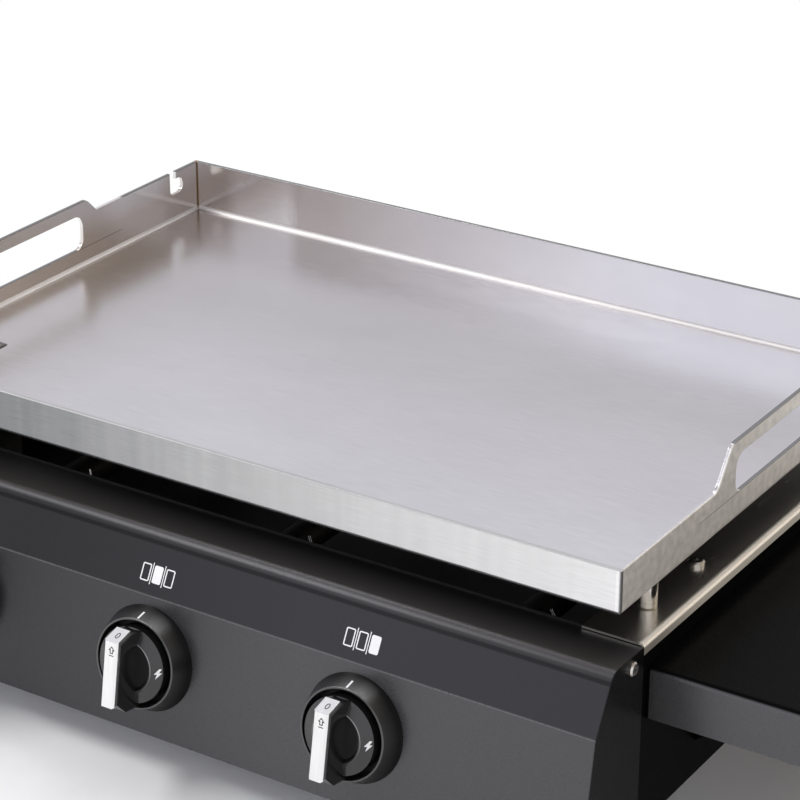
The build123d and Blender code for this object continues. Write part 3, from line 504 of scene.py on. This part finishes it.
# %% [markdown]
# ## Drain chute
#
# The chute and the grease drawer share one steel, but the chute's upper part stands in the dark gap under
# the plate, and painted shade turns it near black there. That could be a second slot in the record; a fade
# with the height does the same with one.

# %% Drain chute
shade_rise = (0.08, 0.13)
chute_painted_shade = grey(0.04)
tree, shader = opened(looks["drawer_steel"])
# Painted shade: the chute's steel turns near black above this height.
in_chute_shade = ramp(tree, axes(tree)["Z"], *shade_rise)
plug(shader, "Base Color", mixed(tree, in_chute_shade, plugged(shader, "Base Color"), chute_painted_shade))
print("chute ready")

# %% [markdown]
# ## Coats, plastics and rubber
#
# Enamel, plastic, ceramic and rubber aren't metals: their own colour lies under a clear reflection. The
# recipe is the one of the metals without the metallic switch, and even grain suits them all, because none
# is brushed.

# %% Coats, plastics and rubber
fine = (1100, 1100, 1100)
coats = {
    "firebox_enamel": (grey(0.004), grey(0.008), fine, (0.6, 0.75), 0.00004),
    "bezel_black": (grey(0.005), grey(0.008), (900, 900, 900), (0.30, 0.38), 0.00002),
    "dial_black": (grey(0.008), grey(0.012), (500, 500, 500), (0.16, 0.24), 0.00001),
    "ceramic": (grey(0.74, 0.03), grey(0.82, 0.03), (200, 200, 200), (0.15, 0.25), 0.00002),
    "lead_sheath": ((0.30, 0.03, 0.02, 1), (0.38, 0.05, 0.03, 1), (400, 400, 400), (0.45, 0.55), 0.00003),
    "black_screw": (grey(0.02), grey(0.035), (400, 400, 400), (0.35, 0.5), 0.00003),
    "foot_rubber": (grey(0.012), grey(0.02), (700, 700, 700), (0.7, 0.85), 0.0001),
}
for name, recipe in coats.items():
    looks[name] = finish(name, *recipe)
print("coats:", len(coats))

# %% [markdown]
# ## Black panel
#
# The control panel, the side sheets and the shelf are powder-coated black steel. Most of what the eye sees
# on them is mirrored light, which changes from fold to fold. Plain black paint in this simple studio would
# look the same everywhere, so masks pick out the folds, and each gets its own gloss and some painted light:
# the top is painted brown towards the bend, the crease gets a painted highlight, and the lower face and the
# shelf's front are painted lighter than the coat.

# %% Black panel: folds
face_fade = (-0.22, 0.0)
panel_back = (-0.190, -0.186)
crease_height = (0.1166, 0.1162)
crease_band = (0.1157, 0.1171)
crease_depth = (-0.235, -0.238)
top_rise = (0.1495, 0.1512)
bend_run = (-0.192, -0.222)
bend_band = (0.1474, 0.1530, 0.0010)
dip_band = (0.1446, 0.1478, 0.0008)
panel, tree, shader = surface("black_panel", Specular_Tint=(0.98, 0.98, 1.04, 1))
looks["black_panel"] = panel
place = axes(tree)
to_right = ramp(tree, place["X"], *face_fade)
behind_panel = ramp(tree, place["Y"], *panel_back)
before_rail = opposite(tree, behind_panel)
below_crease = either(tree, ramp(tree, place["Z"], *crease_height), behind_panel)
crease_line = both(tree, between(tree, place["Z"], *crease_band), ramp(tree, place["Y"], *crease_depth))
on_top = ramp(tree, place["Z"], *top_rise)
near_bend = ramp(tree, place["Y"], *bend_run)
in_bend = both(tree, between(tree, place["Z"], *bend_band), before_rail)
below_bend = both(tree, between(tree, place["Z"], *dip_band), before_rail)
print("panel folds ready")

# %% Black panel: right side and shelf
side_sheet = (0.2010, 0.2020)
side_sheet_front = (-0.186, -0.185)
right_side = (0.2030, 0.2039)
shelf_face = (-0.1780, -0.1788)
shelf_start = (0.2042, 0.2046)
end_start = (-0.1860, -0.1880)
beside_rail = both(tree, ramp(tree, place["X"], *side_sheet), ramp(tree, place["Y"], *side_sheet_front))
at_right = either(tree, ramp(tree, place["X"], *right_side), beside_rail)
past_panel = ramp(tree, place["X"], *shelf_start)
shelf_front = both(tree, ramp(tree, place["Y"], *shelf_face), past_panel)
panel_end = both(tree, ramp(tree, place["Y"], *end_start), opposite(tree, past_panel))
print("right side ready")

# %% Black panel: paint
deep_black = grey(0.004)
face_painted_light = grey(0.022)
top_black = grey(0.005)
bend_painted_light = (0.034, 0.030, 0.028, 1)
crease_painted_highlight = grey(0.085)
shelf_black = grey(0.0022)
shelf_front_painted_light = grey(0.036)
grain_span = (0.7, 1.3)
grain = noise(tree, fine)
# Painted light: below the crease, and on the sheets behind the panel, the black is painted lighter towards
# the right; the band above the crease stays deep black.
paint = mixed(tree, below_crease, deep_black, mixed(tree, to_right, deep_black, face_painted_light))
# Painted light and shade on the top: near black at the back under the plate, painted brown towards the bend.
paint = mixed(tree, on_top, paint, mixed(tree, near_bend, top_black, bend_painted_light))
# Painted highlight: a light line along the crease.
paint = mixed(tree, crease_line, paint, crease_painted_highlight)
# Painted light: the shelf's front face is painted lighter grey than the black of the shelf, the side sheet
# and the panel's right end.
paint = mixed(tree, at_right, paint, mixed(tree, shelf_front, shelf_black, shelf_front_painted_light))
plug(shader, "Base Color", scaled(tree, paint, spread(tree, grain, *grain_span)))
print("panel paint ready")

# %% Black panel: gloss
face_gloss = (0.50, 0.85)
right_gloss = (0.74, 1.17)
dip_gloss = (1.0, 0.5)
shelf_gloss = (0.028, 1.0)
end_gloss = (0.0, 0.16)
coat_rough = (0.26, 0.34)
bend_rough = (0.0, 0.08)
grain_depth = 0.00003
gloss = both(tree, switch(tree, below_crease, *face_gloss), switch(tree, to_right, *right_gloss))
gloss = both(tree, gloss, switch(tree, below_bend, *dip_gloss))
gloss = both(tree, gloss, mixed_value(tree, at_right, 1.0, switch(tree, shelf_front, *shelf_gloss)))
gloss = maths(tree, "ADD", gloss, both(tree, at_right, switch(tree, panel_end, *end_gloss)))
plug(shader, "Specular IOR Level", gloss)
matt = maths(tree, "ADD", spread(tree, grain, *coat_rough), switch(tree, in_bend, *bend_rough))
plug(shader, "Roughness", matt)
bump(tree, shader, grain, grain_depth)
print("panel gloss ready")

# %% [markdown]
# ## Places on the panel
#
# Bezels, dials and prints all sit on the two sloping faces of the control panel. Each could be placed by
# its own coordinates, but a few directions and one row of knobs give all of them, and keep the three knobs
# alike.

# %% Places on the panel
band_tilt = radians(28)
face_tilt = radians(9.5)
crease = Vector((0, -0.242429, 0.1164))
knob_row = Vector((-0.1163, -0.24929, 0.0754))
knob_pitch = 0.1575
zones = {"left": -1, "middle": 0, "right": 1}
right = Vector((1, 0, 0))
up_band = Vector((0, sin(band_tilt), cos(band_tilt)))
up_face = Vector((0, sin(face_tilt), cos(face_tilt)))
out_face = right.cross(up_face)
knobs = {zone: knob_row + right * (knob_pitch * side) for zone, side in zones.items()}


def along_axis(tree, axis):
    from_row = vector_maths(tree, "SUBTRACT", {0: position(tree), 1: knob_row}, "Vector")
    return vector_maths(tree, "DOT_PRODUCT", {0: from_row, 1: axis}, "Value")


print("knobs at X:", [round(centre.x, 4) for centre in knobs.values()])

# %% [markdown]
# ## Bezels
#
# A bezel is a satin ring of black plastic. On its flank the light gathers towards the rim, as on a slightly
# curved cone, and the rim catches a thin line. The CAD cone is straight and stays as it is, so the height
# over the panel steers the gloss.

# %% Bezels
flank_rise = (0.0030, 0.0125, 0.20, 0.95)
rim_rise = (0.0132, 0.0137, 0.0, 0.5)
tree, shader = opened(looks["bezel_black"])
height = along_axis(tree, out_face)
flank = ramp(tree, height, *flank_rise)
rim = ramp(tree, height, *rim_rise)
plug(shader, "Specular IOR Level", maths(tree, "ADD", flank, rim))
print("bezels ready")

# %% [markdown]
# ## Dials
#
# A dial is glossier than its bezel, and the chamfer round its crown catches a bright arc above. A lamp
# could be placed for that arc alone, but it would show in the steel too. So the chamfer is found by its
# distance from the knob's axis, with the three knobs folded onto one, and gets a lighter tone.

# %% Dials
crown_band = (0.0169, 0.0177, 0.0002)
crown_rise = (0.0188, 0.0191)
grip_side = (0.0060, 0.0064)
arc_fade = (-0.008, 0.010, 0.1, 1.0)
dial_tone = grey(0.010)
crown_tone = grey(0.34)
dial_gloss = 0.8
tree, shader = opened(looks["dial_black"])
shader.inputs["Specular IOR Level"].default_value = dial_gloss
shifted = maths(tree, "ADD", along_axis(tree, right), 2.5 * knob_pitch)
sideways = maths(tree, "SUBTRACT", maths(tree, "FLOORED_MODULO", shifted, knob_pitch), 0.5 * knob_pitch)
upwards = along_axis(tree, up_face)
from_axis = add(tree, "ShaderNodeCombineXYZ", {"X": sideways, "Y": upwards}).outputs["Vector"]
radius = vector_maths(tree, "LENGTH", {0: from_axis}, "Value")
crown = both(tree, between(tree, radius, *crown_band), ramp(tree, along_axis(tree, out_face), *crown_rise))
crown = both(tree, crown, ramp(tree, maths(tree, "ABSOLUTE", sideways), *grip_side))
crown = both(tree, crown, ramp(tree, upwards, *arc_fade))
plug(shader, "Base Color", mixed(tree, crown, dial_tone, crown_tone))
print("dials ready")

# %% [markdown]
# ## Hand the finishes out
#
# The record names a material slot for each piece. Going through the record, instead of naming the pieces
# here, means that no piece can be forgotten.

# %% Hand the finishes out
for part in frame["record"]["subparts"]:
    skin = frame["nodes"][part["node"]].data.materials
    skin.clear()
    skin.append(looks[part["material_slot"]])
print("finishes:", len(looks))

# %% [markdown]
# ## Flat shapes for the prints
#
# The real griddle has marks in white and dark ink. They could be images on the surface, but thin raised
# meshes stay sharp and can be exported. A print starts as flat shapes: tiles, ovals and polygons, filled or
# only drawn round with a pen.


# %% Flat shapes
def hollow(flat, pen):
    flat.normal_update()
    outline = {"thickness": pen, "use_boundary": True, "use_even_offset": True}
    ring = bmesh.ops.inset_region(flat, faces=flat.faces[:], **outline)
    inside = [face for face in flat.faces if face not in ring["faces"]]
    bmesh.ops.delete(flat, geom=inside, context="FACES")


def tile(width, height, x=0.0, y=0.0, corner=0.0, pen=0.0):
    flat = bmesh.new()
    bmesh.ops.create_grid(flat, x_segments=1, y_segments=1, size=0.5)
    bmesh.ops.scale(flat, vec=(width, height, 1), verts=flat.verts)
    if corner:
        bmesh.ops.bevel(flat, geom=flat.verts[:], offset=corner, offset_type="OFFSET", affect="VERTICES",
                        segments=4, profile=0.5, material=-1)
    if pen:
        hollow(flat, pen)
    bmesh.ops.translate(flat, vec=(x, y, 0), verts=flat.verts)
    return flat


def oval(width, height, pen):
    flat = bmesh.new()
    bmesh.ops.create_circle(flat, cap_ends=True, segments=28, radius=0.5)
    bmesh.ops.scale(flat, vec=(width, height, 1), verts=flat.verts)
    hollow(flat, pen)
    return flat


def polygon(points, pen=0.0):
    flat = bmesh.new()
    flat.faces.new([flat.verts.new((x, y, 0)) for x, y in points])
    if pen:
        hollow(flat, pen)
    return flat


print("flat shapes ready")

# %% [markdown]
# ## From flat shapes to a print
#
# The flat shapes of one print are joined, extruded to the thickness of a coat of ink and laid on a spot, a
# little frame with an origin, the way across and the way up. Each piece rides on the body that carries it,
# so that the marks on a dial turn with the dial.


# %% From flat shapes to a print
def spot(origin, across, up):
    place = Matrix((across, up, across.cross(up))).transposed().to_4x4()
    place.translation = origin
    return place


def print_piece(name, flats, place, body, look, sunk=0.00005, raised=0.0001):
    mesh = bpy.data.meshes.new(name)
    shape = bmesh.new()
    for flat in flats:
        flat.to_mesh(mesh)
        flat.free()
        shape.from_mesh(mesh)
    bmesh.ops.translate(shape, vec=(0, 0, -sunk), verts=shape.verts)
    extruded = bmesh.ops.extrude_face_region(shape, geom=shape.faces[:])["geom"]
    top = [corner for corner in extruded if isinstance(corner, bmesh.types.BMVert)]
    bmesh.ops.translate(shape, vec=(0, 0, sunk + raised), verts=top)
    bmesh.ops.transform(shape, matrix=place, verts=shape.verts)
    bmesh.ops.recalc_face_normals(shape, faces=shape.faces)
    shape.to_mesh(mesh)
    shape.free()
    mesh.materials.append(look)
    piece = bpy.data.objects.new(name, mesh)
    scene.collection.objects.link(piece)
    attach(piece, body)


ink = finish("white_print", grey(0.88), grey(0.95), (900, 900, 900), (0.45, 0.6), 0.00001)
dark_ink = finish("dark_print", grey(0.015), grey(0.03), (900, 900, 900), (0.4, 0.55), 0.00001)
print("inks ready")

# %% [markdown]
# ## Burner icons
#
# Above each knob a printed icon shows three burners, and the one that the knob works is filled. A font or
# an image could draw it; three rounded tiles and two bars keep the lines sharp at every size.

# %% Burner icons
icon_row = 0.0140
icon_middle = -0.1159
icon_pitch = 0.1546
cell_width = 0.0067
cell_height = 0.0114
cell_pitch = 0.0092
cell_round = 0.0011
pen = 0.0008
bar_width = 0.0006
bar_height = 0.0140
for zone, side in zones.items():
    flats = []
    for cell in (-1, 0, 1):
        line = 0.0 if cell == side else pen
        flats.append(tile(cell_width, cell_height, cell * cell_pitch, 0.0, cell_round, line))
    for gap in (-0.5, 0.5):
        flats.append(tile(bar_width, bar_height, gap * cell_pitch))
    centre = crease + right * (icon_middle + icon_pitch * side) + up_band * icon_row
    print_piece(f"icon_{zone}", flats, spot(centre, right, up_band), "chassis", ink)
print("icons:", len(zones))

# %% [markdown]
# ## Index ticks
#
# A white tick on top of each bezel tells where the dial points. It lies on a cone and could be wrapped
# round it, but it is so narrow that a flat tile along the slope follows the cone closely enough.

# %% Index ticks on the bezels
bezel_base = 0.0353
bezel_rim = 0.030
bezel_height = 0.014
slope = (bezel_base - bezel_rim) / bezel_height
tick_width = 0.0013
tick_high = 0.0130
tick_low = 0.0065
for zone, centre in knobs.items():
    top = centre + up_face * (bezel_base - slope * tick_high) + out_face * tick_high
    bottom = centre + up_face * (bezel_base - slope * tick_low) + out_face * tick_low
    run = bottom - top
    place = spot((top + bottom) / 2, right, run.normalized())
    print_piece(f"tick_{zone}", [tile(tick_width, run.length)], place, "chassis", ink)
print("ticks:", len(zones))

# %% [markdown]
# ## Marks on the dials
#
# The slanted end of each dial's bright stripe carries a numeral, its top an arrow for pushing in, and the
# sloping ring a white spark for the ignition. A font could set the numeral, but a stretched circle drawn
# with a pen is all it needs. Arrow and spark are polygons, and small enough to lie flat on their slopes.

# %% Shapes of the marks
thin = 0.00055
numeral_width = 0.0028
numeral_height = 0.0051
arrow_bar = 0.0034
arrow_bar_drop = 0.0031
arrow = [
    (0, 0.0032), (0.0024, 0.0003), (0.0012, 0.0003), (0.0012, -0.0018), (-0.0012, -0.0018), (-0.0012, 0.0003),
    (-0.0024, 0.0003),
]
bolt = [
    (0.0007, 0.0036), (-0.0026, -0.0005), (-0.0006, -0.0003), (-0.0016, -0.0036), (0.0026, 0.0010),
    (0.0006, 0.0008), (0.0023, 0.0036),
]
print("corners of arrow and spark:", len(arrow), len(bolt))

# %% Marks on the dials
facet_low = (0.0273, 0.0272)
facet_high = (0.0220, 0.0397)
numeral_right = 0.0006
arrow_right = 0.0010
arrow_up = 0.0162
ring_radius = 0.0220
ring_height = 0.01795
ring_slope = 0.4667
ring_turn = radians(1)
radial = right * cos(ring_turn) + up_face * sin(ring_turn)
tangent = up_face * cos(ring_turn) - right * sin(ring_turn)
downhill = (radial - out_face * ring_slope).normalized()
for zone, centre in knobs.items():
    body = f"knob_{zone}"
    low = centre + up_face * facet_low[0] + out_face * facet_low[1]
    high = centre + up_face * facet_high[0] + out_face * facet_high[1]
    facet = spot((low + high) / 2 + right * numeral_right, right, (low - high).normalized())
    numeral = [oval(numeral_width, numeral_height, thin)]
    print_piece(f"numeral_{zone}", numeral, facet, body, dark_ink)
    top = spot(centre + right * arrow_right + up_face * arrow_up + out_face * facet_high[1], right, up_face)
    flats = [polygon(arrow, thin), tile(arrow_bar, thin, 0.0, -arrow_bar_drop)]
    print_piece(f"arrow_{zone}", flats, top, body, dark_ink)
    ring = spot(centre + radial * ring_radius + out_face * ring_height, downhill, tangent)
    print_piece(f"spark_{zone}", [polygon(bolt)], ring, body, ink)
print("dial marks:", 3 * len(zones))
